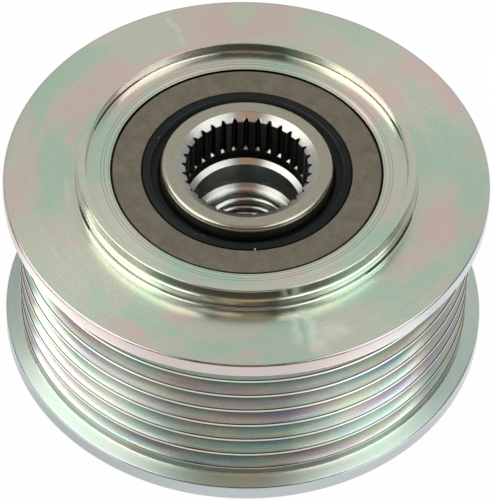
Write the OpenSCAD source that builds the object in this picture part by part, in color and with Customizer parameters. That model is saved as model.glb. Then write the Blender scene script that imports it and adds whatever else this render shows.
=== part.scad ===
// Overrunning alternator pulley: a ribbed belt rim that carries a one-way roller clutch
// between two ball bearings, around a splined and threaded hub.
// Millimetres. The origin is the centre of the rear rim face, and +Z runs along the
// axis towards the front, where the tool goes in.

/* [Belt rim] */
// Diameter over the rib crests
rib_d = 70.9; // [68:0.1:80]
// Height of the two flanges above the rib crests
flange_rise = 2.35; // [1.5:0.05:4]
// Distance from one groove to the next
rib_pitch = 3.56; // [3.4:0.01:3.7]
// Number of belt grooves
groove_count = 7; // [6:1:8]
// Angle between the two flanks of a groove
groove_angle = 40; // [36:1:42]
// Width of a crest, measured between its unrounded edges
crest_w = 0.6; // [0.45:0.05:0.8]
// Width of a groove's bottom, measured between its unrounded edges
root_w = 0.885; // [0.7:0.005:1.1]
// Rounding of the crest edges
crest_round = 0.25; // [0.1:0.05:0.3]
// Rounding at the bottom of a groove
root_round = 0.4; // [0.2:0.05:0.5]
// From the flat front face down to the middle of the first groove
front_to_groove = 4.82; // [4.5:0.01:6]
// From the middle of the last groove down to the rear rim face
groove_to_rear = 6.32; // [5.8:0.01:8]
// Thickness of the rear flange
rear_flange_t = 3.3; // [2.5:0.1:4]
// Rounding of the flange edges
flange_round = 0.32; // [0.15:0.01:0.5]

/* [Rear relief] */
// Width of the flat rear rim face and its outer rounding
rear_rim_w = 7.8; // [4:0.1:11]
// Depth of the relief inside the rear rim
rear_relief = 1; // [0.4:0.1:1.6]

/* [Collar] */
// Height of the collar above the flat front face
collar_h = 3.75; // [3.2:0.05:6]
// Height of the straight wall of the lip over the snap groove
lip_h = 0.9; // [0.5:0.05:1.2]
// Depth of the snap groove below the lip
snap_depth = 0.5; // [0.2:0.05:0.7]
// Height of the straight bottom of the snap groove
snap_h = 0.5; // [0.3:0.05:0.8]
// Step of the collar's wall beyond the lip, below the snap groove
collar_step = 0.2; // [0:0.05:0.5]
// Width of the collar's flat top
collar_top_w = 1.15; // [0.8:0.05:1.6]
// Chamfer of the collar's outer top edge
collar_chamfer = 0.25; // [0.1:0.05:0.4]
// Rounding where the collar meets the flat face
collar_fillet = 0.35; // [0.1:0.05:0.5]
// Depth of the recess inside the collar
recess_depth = 1.75; // [1:0.05:2.5]
// Width of the flat floor of the recess
recess_floor_w = 2.45; // [1:0.05:4]
// Width of the shallow cone between the recess floor and the bore's chamfer
dish_w = 0.71; // [0.4:0.01:1.5]
// Drop of the shallow cone between the recess floor and the bore
dish_depth = 0.12; // [0.05:0.01:0.3]

/* [Bearings] */
// Room for the bearings and the clutch, from the hub's surface to the pulley's bore
unit_w = 7.6; // [7:0.1:9]
// Gap drawn at the press fit between the rings and the bore
press_gap = 0.01; // [0.005:0.005:0.02]
// Width of each bearing ring
bearing_w = 10.1; // [9.5:0.1:11]
// Inset of the front ring's face below the recess floor
front_inset = 0.2; // [0.1:0.05:0.6]
// Inset of the rear ring's face below the rear relief
rear_inset = 1; // [0.5:0.1:1.5]
// Chamfer of the ring edges
ring_chamfer = 0.22; // [0.1:0.01:0.4]
// Share of the free length in a ring that lies between the seal and the ball cage
cage_place = 0.62; // [0.4:0.02:0.8]
// Number of balls in each bearing
ball_count = 13; // [9:1:14]
// Diameter of a ball
ball_d = 4.762; // [4.4:0.001:5]
// Running gap between a ball and each raceway
ball_gap = 0.02; // [0.01:0.005:0.05]
// Radius of a raceway groove as a multiple of the ball's radius
race_ratio = 1.04; // [1.02:0.005:1.06]
// Depth of a raceway groove below its shoulder
race_depth = 0.95; // [0.7:0.05:1.1]
// Gap between a ball cage and the balls
cage_gap = 0.08; // [0.05:0.01:0.15]
// Gap between a cage and the rings beside it
cage_side_gap = 0.35; // [0.2:0.05:0.5]
// Thickness of the back of a ball cage, behind the balls
cage_back = 0.7; // [0.5:0.05:0.9]

/* [Seals] */
// Step of the seal's seat beyond the raceway's shoulder
seal_step = 0.1; // [0:0.05:0.5]
// Depth of the seal's seat
seal_w = 2.3; // [2:0.1:2.6]
// Running gap between the seal lip and the hub
lip_gap = 0.05; // [0.02:0.01:0.1]

/* [Clutch] */
// Number of clutch rollers
roller_count = 10; // [8:1:11]
// Diameter of a clutch roller
roller_d = 4; // [3.6:0.05:4.2]
// Running gap between a roller and the hub, and between a roller and its ramp
roller_gap = 0.03; // [0.01:0.005:0.05]
// Slope of a ramp against the hub's surface
ramp_angle = 6; // [4:0.5:8]
// Angle that the rollers turn back to let the hub run free
release_angle = 1.1; // [0.5:0.1:1.5]
// Room between the hub and the clutch ring's bore, for the cage
clutch_room = 2.9; // [2.6:0.05:3.3]
// Length of the spring space beside a roller
spring_space = 2.2; // [1.8:0.1:2.6]
// Thickness of a spring leaf
leaf_t = 0.22; // [0.15:0.01:0.3]
// Thickness of each end ring of the clutch cage
clutch_cage_end = 1.1; // [0.8:0.1:1.6]

/* [Hub] */
// From the hub's front face down to the collar's top
hub_drop = 0.5; // [0.2:0.05:1.5]
// From the rear rim face up to the hub's rear face
hub_rear_drop = 0.5; // [0.2:0.05:1.2]
// Rounding of the hub's front edge
hub_round = 0.85; // [0.4:0.05:1]
// Width of the hub's flat front ring, between its rounding and the countersink
hub_face_w = 1.55; // [1:0.05:2.5]
// Width of the countersink outside the spline's spaces
mouth_w = 0.88; // [0.5:0.02:1.4]
// Slope of the countersink below the hub's face
mouth_slope = 30; // [25:1:40]
// Depth of a spline space
spline_depth = 0.62; // [0.5:0.01:0.75]
// Number of spline spaces
spline_count = 33; // [30:1:36]
// Width of a spline space at its mouth, as a share of the tooth pitch
space_share = 0.47; // [0.4:0.01:0.55]
// Width of a spline space at its bottom
space_bottom_w = 0.24; // [0.15:0.01:0.35]
// Length of the spline below the hub's face
spline_len = 7.4; // [6:0.1:8.4]
// Drop of the sloped ends of the spaces
space_end = 0.7; // [0.4:0.05:1]
// Length of the plain bore between the spline and the upper cone
relief_len = 1.8; // [1:0.1:2.5]
// Width of the upper cone, from the spline's teeth to the middle bore
upper_cone_w = 0.95; // [0.6:0.05:1.3]
// Length of the middle bore with its cones
middle_len = 5.2; // [4:0.1:6.4]
// Width of the small cone at the bottom of the middle bore
lower_cone_w = 0.6; // [0.3:0.05:1]
// Width of the flat ledge over the thread
ledge_w = 0.95; // [0.6:0.05:1.5]
// Nominal diameter of the thread
thread_d = 14; // [13.6:0.1:14.6]
// Pitch of the thread
thread_pitch = 1.5; // [1:0.25:2]
// Slope of the cone at the thread's mouth
thread_cone_slope = 60; // [45:1:70]
// Step of the pilot bore beyond the thread
pilot_step = 1.5; // [1:0.05:2]
// Depth of the pilot bore above the hub's rear face
pilot_depth = 8.5; // [6:0.1:9.5]
// Chamfer of the hub's rear edges
hub_chamfer = 0.5; // [0.2:0.05:0.8]

/* [Hidden] */
fine = 128;
arc_steps = 5;

// Radii
thread_r = thread_d / 2;
// Minor radius of a metric nut thread
minor_r = thread_r - 0.5413 * thread_pitch;
pilot_r = thread_r + pilot_step;
ledge_r = thread_r + ledge_w;
middle_r = ledge_r + lower_cone_w;
tooth_r = middle_r + upper_cone_w;
spline_r = tooth_r + spline_depth;
mouth_r = spline_r + mouth_w;
hub_r = mouth_r + hub_face_w + hub_round;
ball_r = ball_d / 2;
pitch_r = hub_r - race_depth + ball_gap + ball_r;
shoulder_r = pitch_r + ball_gap + ball_r - race_depth;
seal_r = shoulder_r + seal_step;
roller_r = roller_d / 2;
roller_pitch_r = hub_r + roller_gap + roller_r;
clutch_bore_r = hub_r + clutch_room;
unit_r = hub_r + unit_w;
ring_r = unit_r - press_gap;
dish_r = unit_r + 2 * ring_chamfer;
recess_r = dish_r + dish_w + recess_floor_w + collar_fillet;
lip_r = recess_r + collar_top_w + collar_chamfer;
snap_r = lip_r - snap_depth;
collar_r = lip_r + collar_step;
rib_r = rib_d / 2;
flange_r = rib_r + flange_rise;
rear_rim_r = flange_r - rear_rim_w;

// Heights above the rear rim face
body_h = front_to_groove + (groove_count - 1) * rib_pitch + groove_to_rear;
collar_z = body_h + collar_h;
floor_z = collar_z - recess_depth;
front_ring_z = floor_z - front_inset;
rear_ring_z = rear_relief + rear_inset;
clutch_z0 = rear_ring_z + bearing_w;
clutch_z1 = front_ring_z - bearing_w;
clutch_w = clutch_z1 - clutch_z0;
cage_top = ball_r * 0.8;
cage_bottom = ball_r + cage_gap + cage_back;
ball_inset = seal_w + cage_place * (bearing_w - seal_w - cage_top - cage_bottom) + cage_top;
front_ball_z = front_ring_z - ball_inset;
rear_ball_z = rear_ring_z + ball_inset;
hub_z0 = hub_rear_drop;
hub_z1 = collar_z - hub_drop;
hub_h = hub_z1 - hub_z0;

// Groove form
flank = groove_angle / 2;
crest_half = (rib_pitch - crest_w) / 2;
root_half = root_w / 2;
groove_depth = (crest_half - root_half) / tan(flank);
root_r = rib_r - groove_depth;
turn = 90 - flank;

// Clutch form
roller_end_gap = 0.1;
roller_len = clutch_w - 2 * clutch_cage_end - 2 * cage_side_gap - 2 * roller_end_gap;
roller_z0 = clutch_z0 + cage_side_gap + clutch_cage_end + roller_end_gap;
roller_travel = roller_pitch_r * sin(release_angle);
ramp_back = roller_r + spring_space + 0.9;
ramp_front = roller_r + 0.5;
window_front = roller_r + 0.1;
window_back = roller_r + spring_space;
pocket_len = clutch_w - 2 * cage_side_gap;

function two(i) = str(i < 10 ? "0" : "", i);
function names(stem, n) = [for (i = [1 : n]) str(stem, two(i))];

// Points along a circular arc, in degrees
function arc(c, r, a0, a1, n = arc_steps) =
    [for (i = [0 : n]) c + r * [cos(a0 + (a1 - a0) * i / n), sin(a0 + (a1 - a0) * i / n)]];

// Turned ring from an outline of [radius, height] points
module turned(points) {
    rotate_extrude($fn = fine) polygon(points);
}

// Upper and lower halves of one groove's outline, from the outside inwards and back out.
// Each rounding starts where its tangent length from the sharp corner ends.
function groove_top(z) = let (t = crest_round * tan(turn / 2))
    arc([rib_r - crest_round, z + crest_half + t], crest_round, 0, -turn, 3);
function groove_bottom(z) = let (t = crest_round * tan(turn / 2))
    arc([rib_r - crest_round, z - crest_half - t], crest_round, turn, 0, 3);
function groove_root(z) = let (t = root_round * tan(turn / 2)) concat(
    arc([root_r + root_round, z + root_half - t], root_round, 180 - turn, 180, 3),
    arc([root_r + root_round, z - root_half + t], root_round, 180, 180 + turn, 3));

function groove_z(i) = body_h - front_to_groove - i * rib_pitch;

function grooves() = [for (i = [0 : groove_count - 1])
    each concat(i == 0 ? [] : groove_top(groove_z(i)),
                groove_root(groove_z(i)),
                groove_bottom(groove_z(i)))];

// The first groove's upper flank runs straight out to the front flange's rim
front_rim_z = groove_z(0) + crest_half + (flange_r - rib_r) * tan(flank);

function front_flange() = concat(
    arc([flange_r - flange_round, body_h - flange_round], flange_round, 90, 0),
    [[flange_r, front_rim_z + flange_round],
     [flange_r - flange_round, front_rim_z - flange_round * tan(flank)]]);

function rear_flange() = concat(
    [[rib_r, rear_flange_t], [flange_r - flange_round, rear_flange_t]],
    arc([flange_r - flange_round, rear_flange_t - flange_round], flange_round, 90, 0),
    arc([flange_r - flange_round, flange_round], flange_round, 0, -90));

// Rear relief, the bore, and the recess up to the collar's inner top edge
function inside() = [
    [rear_rim_r, 0],
    [rear_rim_r - rear_relief, rear_relief],
    [unit_r + ring_chamfer, rear_relief],
    [unit_r, rear_relief + ring_chamfer],
    [unit_r, floor_z - dish_depth - ring_chamfer],
    [unit_r + ring_chamfer, floor_z - dish_depth],
    [dish_r + dish_w, floor_z],
    [recess_r - collar_fillet, floor_z],
    [recess_r - collar_fillet / 2, floor_z + collar_fillet / 2],
    [recess_r, collar_z - collar_chamfer / 2],
    [recess_r + collar_chamfer / 2, collar_z]];

// Collar from its top edge down over the lip and the snap groove to the flat face
function collar() = let (
    lip_z = collar_z - collar_chamfer - lip_h,
    ramp_z = lip_z - snap_h,
    wall_top = ramp_z - (collar_r - snap_r)) concat(
    [[lip_r - collar_chamfer, collar_z],
     [lip_r, collar_z - collar_chamfer],
     [lip_r, lip_z],
     [snap_r, lip_z],
     [snap_r, ramp_z],
     [collar_r, wall_top]],
    arc([collar_r + collar_fillet, body_h + collar_fillet], collar_fillet, 180, 270));

module pulley() {
    color([0.70, 0.71, 0.64])
        turned(concat(inside(), collar(), front_flange(), grooves(), rear_flange()));
}

// Torus that a raceway is cut with
module raceway(r, z) {
    rotate_extrude($fn = fine) translate([r, z]) circle(r = ball_r * race_ratio, $fn = fine);
}

// Outer ring of a bearing, with its seal seat at the top: the outer face is at height 0
// and the ring reaches down from there
module bearing_ring() {
    race_r = pitch_r + ball_r + ball_gap - ball_r * race_ratio;
    difference() {
        turned([
            [ring_r - ring_chamfer, 0],
            [seal_r + ring_chamfer, 0],
            [seal_r, -ring_chamfer],
            [seal_r, -seal_w],
            [shoulder_r, -seal_w],
            [shoulder_r, ring_chamfer - bearing_w],
            [shoulder_r + ring_chamfer, -bearing_w],
            [ring_r - ring_chamfer, -bearing_w],
            [ring_r, ring_chamfer - bearing_w],
            [ring_r, -ring_chamfer]]);
        raceway(race_r, -ball_inset);
    }
}

module front_bearing_ring() {
    color([0.43, 0.39, 0.34]) translate([0, 0, front_ring_z]) bearing_ring();
}

module rear_bearing_ring() {
    color([0.43, 0.39, 0.34]) translate([0, 0, rear_ring_z]) mirror([0, 0, 1]) bearing_ring();
}

// Rubber seal under the outer face at height 0: a flat band with a bead, a groove and
// a lip that slopes down to the hub
module seal() {
    body_r = seal_r - press_gap;
    bead_r = hub_r + 1.45;
    lip_in = hub_r + lip_gap;
    turned([
        [body_r - 0.15, -0.05],
        [bead_r + 0.35, -0.05],
        [bead_r + 0.2, 0],
        [bead_r, 0],
        [bead_r - 0.15, -0.15],
        [bead_r - 0.35, -0.75],
        [lip_in + 0.35, -0.85],
        [lip_in, -1.25],
        [lip_in, -1.45],
        [lip_in + 0.5, -1.7],
        [bead_r - 0.2, -1.5],
        [bead_r + 0.1, -seal_w],
        [body_r, -seal_w],
        [body_r, -0.2]]);
}

module front_seal() {
    color([0.10, 0.11, 0.11]) translate([0, 0, front_ring_z]) seal();
}

module rear_seal() {
    color([0.10, 0.11, 0.11]) translate([0, 0, rear_ring_z]) mirror([0, 0, 1]) seal();
}

module at_ball(i) {
    rotate(360 / ball_count * i) translate([0, pitch_r, 0]) children();
}

// Crown cage: a tube with ball pockets that open upwards and slots between its prongs
module ball_cage() {
    inner_r = hub_r + cage_side_gap;
    outer_r = shoulder_r - cage_side_gap;
    slot_w = 2 * PI * pitch_r / ball_count - ball_d - 1.1;
    difference() {
        turned([[inner_r, -cage_bottom], [outer_r, -cage_bottom],
                [outer_r, cage_top], [inner_r, cage_top]]);
        for (i = [1 : ball_count]) {
            at_ball(i) sphere(r = ball_r + cage_gap, $fn = fine / 2);
            rotate(180 / ball_count) at_ball(i)
                translate([-slot_w / 2, -ball_r, 0]) cube([slot_w, ball_d, ball_r]);
        }
    }
}

module front_ball_cage() {
    color([0.80, 0.74, 0.58]) translate([0, 0, front_ball_z]) ball_cage();
}

module rear_ball_cage() {
    color([0.80, 0.74, 0.58]) translate([0, 0, rear_ball_z]) mirror([0, 0, 1]) ball_cage();
}

module ball(i, z) {
    color([0.75, 0.76, 0.78])
        translate([0, 0, z]) at_ball(i) sphere(r = ball_r, $fn = fine / 2);
}

// Frame of a roller: x runs along the ramp towards its narrow end, y away from the axis
module at_roller(i) {
    rotate(360 / roller_count * i) translate([0, roller_pitch_r, 0]) children();
}

// Ring with one ramp for each roller: a flat that leans on the roller from outside
module clutch_ring() {
    color([0.55, 0.56, 0.57])
        difference() {
            turned([
                [ring_r - ring_chamfer, clutch_z0],
                [ring_r, clutch_z0 + ring_chamfer],
                [ring_r, clutch_z1 - ring_chamfer],
                [ring_r - ring_chamfer, clutch_z1],
                [clutch_bore_r, clutch_z1],
                [clutch_bore_r, clutch_z0]]);
            for (i = [1 : roller_count])
                at_roller(i) rotate(-ramp_angle)
                    translate([-ramp_back, -roller_r, clutch_z0 + cage_side_gap])
                        cube([ramp_back + ramp_front, roller_d + roller_gap, pocket_len]);
        }
}

// Squirrel cage with a window for each roller and its spring
module clutch_cage() {
    inner_r = hub_r + cage_side_gap;
    outer_r = clutch_bore_r - cage_side_gap / 2;
    z0 = clutch_z0 + cage_side_gap;
    color([0.20, 0.20, 0.21])
        difference() {
            turned([[inner_r, z0], [outer_r, z0],
                    [outer_r, z0 + pocket_len], [inner_r, z0 + pocket_len]]);
            for (i = [1 : roller_count])
                at_roller(i)
                    translate([-window_back, -roller_d, z0 + clutch_cage_end])
                        cube([window_back + window_front, 2 * roller_d,
                              pocket_len - 2 * clutch_cage_end]);
        }
}

module clutch_roller(i) {
    color([0.75, 0.76, 0.78])
        at_roller(i) translate([0, 0, roller_z0])
            cylinder(r = roller_r, h = roller_len, $fn = fine);
}

// Outline of a bent strip of even thickness along a path, with mitred bends
function unit(v) = v / norm(v);
function left(v) = [-v[1], v[0]];
function strip_side(p, t) = [for (i = [0 : len(p) - 1]) let (
    a = unit(p[i] - p[max(i - 1, 0)] + (i == 0 ? p[1] - p[0] : [0, 0])),
    b = i == len(p) - 1 ? a : unit(p[i + 1] - p[i]),
    m = unit(left(a) + left(b))) p[i] + m * t / 2 / (m * left(b))];
function strip(p, t) = concat(strip_side(p, t),
    [for (i = [len(p) - 1 : -1 : 0]) strip_side(p, -t)[i]]);

// Leaf spring folded in three, between the cage's bar and the roller
module clutch_spring(i) {
    back = leaf_t / 2 - window_back + 0.03;
    front = -roller_r - roller_travel - leaf_t / 2 - 0.03;
    rise = roller_r * 0.55;
    color([0.72, 0.70, 0.64])
        at_roller(i) translate([0, 0, roller_z0 + roller_len * 0.15])
            linear_extrude(roller_len * 0.7)
                polygon(strip([[back, -rise], [back, rise], [(back + front) / 2, -rise],
                               [front - 0.1, rise * 0.8], [front, -rise * 0.6]], leaf_t));
}

// One space of the tool spline, standing along the +Y side of the bore
module spline_space() {
    space_w = space_share * 2 * PI * tooth_r / spline_count;
    inner = tooth_r - spline_depth;
    inner_w = 2 * space_w - space_bottom_w;
    linear_extrude(hub_z1)
        polygon([[-inner_w / 2, inner], [-space_bottom_w / 2, spline_r],
                 [space_bottom_w / 2, spline_r], [inner_w / 2, inner]]);
}

// Room that the spline's spaces are cut in, closed below by their sloped ends
module spline_room() {
    z = hub_z1 - spline_len;
    turned([[0, z], [tooth_r, z], [spline_r + 0.01, z + space_end],
            [spline_r + 0.01, hub_z1], [0, hub_z1]]);
}

function hub_outline() = let (
    tooth_z = hub_z1 - (mouth_r - tooth_r) * tan(mouth_slope),
    cone_z = hub_z1 - spline_len - relief_len,
    ledge_z = cone_z - middle_len,
    rim_cone = lower_cone_w * 0.7,
    minor_z = ledge_z - (thread_r - minor_r) * tan(thread_cone_slope),
    pilot_z = hub_z0 + pilot_depth) concat(
    [[minor_r, minor_z], [thread_r, ledge_z], [ledge_r, ledge_z],
     [middle_r, ledge_z + rim_cone],
     [middle_r, cone_z - (tooth_r - middle_r) * tan(mouth_slope)],
     [tooth_r, cone_z], [tooth_r, tooth_z], [mouth_r, hub_z1]],
    arc([hub_r - hub_round, hub_z1 - hub_round], hub_round, 90, 0, 8),
    [[hub_r, hub_z0 + hub_chamfer], [hub_r - hub_chamfer, hub_z0],
     [pilot_r + hub_chamfer, hub_z0], [pilot_r, hub_z0 + hub_chamfer],
     [pilot_r, pilot_z], [thread_r, pilot_z],
     [minor_r, pilot_z + (thread_r - minor_r)]]);

module hub() {
    race_r = pitch_r - ball_r - ball_gap + ball_r * race_ratio;
    color([0.62, 0.60, 0.56])
        difference() {
            turned(hub_outline());
            raceway(race_r, front_ball_z);
            raceway(race_r, rear_ball_z);
            intersection() {
                for (i = [1 : spline_count]) rotate(360 / spline_count * i) spline_space();
                spline_room();
            }
        }
}

pulley();
hub();
front_bearing_ring();
rear_bearing_ring();
clutch_ring();
clutch_cage();
front_seal();
rear_seal();
front_ball_cage();
rear_ball_cage();
for (i = [1 : ball_count]) {
    ball(i, front_ball_z);
    ball(i, rear_ball_z);
}
for (i = [1 : roller_count]) {
    clutch_roller(i);
    clutch_spring(i);
}
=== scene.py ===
import math

import bmesh
import bpy
from mathutils import Matrix, Vector


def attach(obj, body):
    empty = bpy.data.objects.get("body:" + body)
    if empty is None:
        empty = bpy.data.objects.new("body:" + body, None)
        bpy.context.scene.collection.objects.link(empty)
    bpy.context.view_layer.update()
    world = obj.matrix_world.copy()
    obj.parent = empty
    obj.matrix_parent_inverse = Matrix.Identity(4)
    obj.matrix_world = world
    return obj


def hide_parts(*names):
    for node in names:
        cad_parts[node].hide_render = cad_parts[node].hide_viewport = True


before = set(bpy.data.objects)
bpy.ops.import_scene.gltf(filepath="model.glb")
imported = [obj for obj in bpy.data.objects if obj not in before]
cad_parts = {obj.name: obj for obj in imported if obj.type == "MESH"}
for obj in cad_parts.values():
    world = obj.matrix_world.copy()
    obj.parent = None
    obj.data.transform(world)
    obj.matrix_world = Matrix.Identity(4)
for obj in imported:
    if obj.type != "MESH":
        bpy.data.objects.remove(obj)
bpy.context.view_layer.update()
print("frame loaded:", len(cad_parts), "nodes")

mm = 0.001

def addNode(tree, kind, inputs=None, **settings):
    made = tree.nodes.new(kind)
    for name, value in settings.items():
        setattr(made, name, value)
    for key, value in (inputs or {}).items():
        if isinstance(value, bpy.types.NodeSocket):
            tree.links.new(value, made.inputs[key])
        else:
            made.inputs[key].default_value = value
    return made


def calc(tree, operation, first, second=0.0, third=None, clamp=False):
    values = {0: first, 1: second}
    if third is not None:
        values[2] = third
    return addNode(tree, "ShaderNodeMath", values, operation=operation, use_clamp=clamp).outputs[0]


def spread(tree, value, fromLow, fromHigh, toLow=0.0, toHigh=1.0):
    inputs = {"Value": value, "From Min": fromLow, "From Max": fromHigh, "To Min": toLow, "To Max": toHigh}
    return addNode(tree, "ShaderNodeMapRange", inputs).outputs[0]


def ramp(tree, value, stops, interpolation="LINEAR"):
    made = addNode(tree, "ShaderNodeValToRGB", {"Fac": value})
    made.color_ramp.interpolation = interpolation
    for index, (place, colour) in enumerate(stops):
        if index < 2:
            stop = made.color_ramp.elements[index]
            stop.position = place
        else:
            stop = made.color_ramp.elements.new(place)
        stop.color = (*colour, 1.0)
    return made.outputs["Color"]


def mixColour(tree, share, first, second, blend="MIX"):
    made = addNode(tree, "ShaderNodeMix", data_type="RGBA", blend_type=blend)
    for key, value in ((0, share), (6, first), (7, second)):
        if isinstance(value, bpy.types.NodeSocket):
            tree.links.new(value, made.inputs[key])
        elif key == 0:
            made.inputs[key].default_value = value
        else:
            made.inputs[key].default_value = (*value, 1.0)
    return made.outputs[2]


def noise(tree, vector, scale, detail=2.0, rough=0.5, distortion=0.0, w=None):
    inputs = {"Vector": vector, "Scale": scale, "Detail": detail, "Roughness": rough, "Distortion": distortion}
    made = addNode(tree, "ShaderNodeTexNoise", noise_dimensions="3D" if w is None else "4D")
    if w is not None:
        inputs["W"] = w
    for key, value in inputs.items():
        if isinstance(value, bpy.types.NodeSocket):
            tree.links.new(value, made.inputs[key])
        else:
            made.inputs[key].default_value = value
    return made.outputs["Fac"]


# Radius and height in millimetres, the direction round the axis, the angle from the
# front (-Y), and how far the surface faces up or down, all in Object coordinates
def ringPlace(tree):
    spot = addNode(tree, "ShaderNodeTexCoord")
    place = spot.outputs["Object"]
    facing = addNode(tree, "ShaderNodeSeparateXYZ", {"Vector": spot.outputs["Normal"]})
    parts = addNode(tree, "ShaderNodeSeparateXYZ", {"Vector": place})
    x, y, z = parts.outputs
    flat = addNode(tree, "ShaderNodeCombineXYZ", {"X": x, "Y": y}).outputs[0]
    radius = addNode(tree, "ShaderNodeVectorMath", {0: flat}, operation="LENGTH").outputs["Value"]
    east = calc(tree, "DIVIDE", x, calc(tree, "MAXIMUM", radius, 1e-5))
    north = calc(tree, "DIVIDE", y, calc(tree, "MAXIMUM", radius, 1e-5))
    return {
        "object": place,
        "radius": calc(tree, "DIVIDE", radius, mm),
        "height": calc(tree, "DIVIDE", z, mm),
        "east": east,
        "north": north,
        "angle": calc(tree, "ARCTAN2", x, calc(tree, "MULTIPLY", y, -1.0)),
        "rise": calc(tree, "ABSOLUTE", facing.outputs["Z"]),
    }


# Noise that runs round the axis in long streaks: fine across the turning, slow along it
def turningNoise(tree, at, fine, slow, detail=3.0, rough=0.6):
    vector = addNode(tree, "ShaderNodeCombineXYZ", {
        "X": calc(tree, "MULTIPLY", at["radius"], fine),
        "Y": calc(tree, "MULTIPLY", at["height"], fine),
        "Z": calc(tree, "MULTIPLY", at["east"], slow)}).outputs[0]
    return noise(tree, vector, 1.0, detail, rough, w=calc(tree, "MULTIPLY", at["north"], slow))


def newMaterial(name):
    made = bpy.data.materials.new(name)
    made.use_nodes = True
    made.node_tree.nodes.clear()
    return made, made.node_tree


def finishMaterial(tree, inputs, bumps=(), tangent=None):
    shader = addNode(tree, "ShaderNodeBsdfPrincipled", inputs)
    normal = None
    for height, distance, strength in bumps:
        values = {"Height": height, "Distance": distance, "Strength": strength}
        if normal is not None:
            values["Normal"] = normal
        normal = addNode(tree, "ShaderNodeBump", values).outputs["Normal"]
    if normal is not None:
        tree.links.new(normal, shader.inputs["Normal"])
    if tangent is not None:
        tree.links.new(tangent, shader.inputs["Tangent"])
    out = addNode(tree, "ShaderNodeOutputMaterial")
    tree.links.new(shader.outputs[0], out.inputs["Surface"])


# Share of a surface that lies between two values, with soft ends
def band(tree, value, low, high, soft=0.03):
    rise = spread(tree, value, low - soft, low + soft)
    fall = spread(tree, value, high - soft, high + soft, 1.0, 0.0)
    return calc(tree, "MULTIPLY", rise, fall)


def product(tree, *shares):
    result = shares[0]
    for share in shares[1:]:
        result = calc(tree, "MULTIPLY", result, share)
    return result


def toned(tree, colour, value, low, high):
    grey = spread(tree, value, 0.3, 0.7, low, high)
    greyColour = addNode(tree, "ShaderNodeCombineColor", {0: grey, 1: grey, 2: grey}).outputs[0]
    return mixColour(tree, 1.0, colour, greyColour, "MULTIPLY")


# Zinc: colours of the flat faces, rims and groove flanks, painted reflection and painted shade on the rims, groove
# flanks, crests and seam, and the marks of use.
# A smear is (angle from the front, from radius, to radius, half width in degrees, strength),
# and a pink or green place is (from angle, to angle, from radius, to radius, push).
zincFinish = {
    "plain": (0.70, 0.715, 0.59),
    "green": (0.56, 0.72, 0.58),
    "pink": (0.81, 0.63, 0.58),
    "rim": (0.62, 0.545, 0.52),
    # painted reflection: a cool tint on the east side of the rim
    "rimEastPaintedReflection": (0.62, 0.66, 0.67),
    # painted shade: the low rim of the rear flange is darker and cooler
    "rimLow": (0.50, 0.54, 0.55),
    # painted shade: how dark the low west side of the rear flange is made
    "lowWestPaintedShade": 0.78,
    "wall": (0.64, 0.66, 0.57),
    "flank": (0.54, 0.55, 0.54),
    # the dark crest edge colour is painted shade on the crest roundings
    "crest": (0.60, 0.62, 0.56), "crestEdgePaintedShade": (0.10, 0.11, 0.10),
    "shelf": (0.65, 0.76, 0.69), "shelfShare": 0.8,
    "patchScale": 46.0,
    "filmShare": 0.64,
    "pinkPlaces": [(-64.0, -12.0, 28.8, 32.6, 0.085), (62.0, 96.0, 29.0, 34.0, 0.060)],
    "greenPlaces": [(-108.0, -66.0, 27.5, 32.0, 0.06), (-48.0, -18.0, 33.6, 37.0, 0.05)],
    "flatRough": 0.19, "flankRough": 0.19, "wallRough": 0.09, "rimRough": 0.17, "shelfRough": 0.34,
    "crestRough": 0.09,
    "smears": [
        (19.0, 27.6, 36.4, 1.7, 0.52), (14.2, 28.2, 34.0, 1.1, 0.42), (23.5, 31.4, 34.6, 3.6, 0.34),
        (-158.0, 30.0, 36.5, 1.4, 0.20),
        (-11.0, 27.25, 28.05, 13.0, 0.62), (-81.0, 27.7, 28.3, 5.0, 0.40)],
    "smearColour": (0.72, 0.74, 0.66),
    # radii of the painted dark lines at the fine steps beside the bearing ring
    "stepShadeLines": [21.46, 22.15, 22.62],
}


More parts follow.
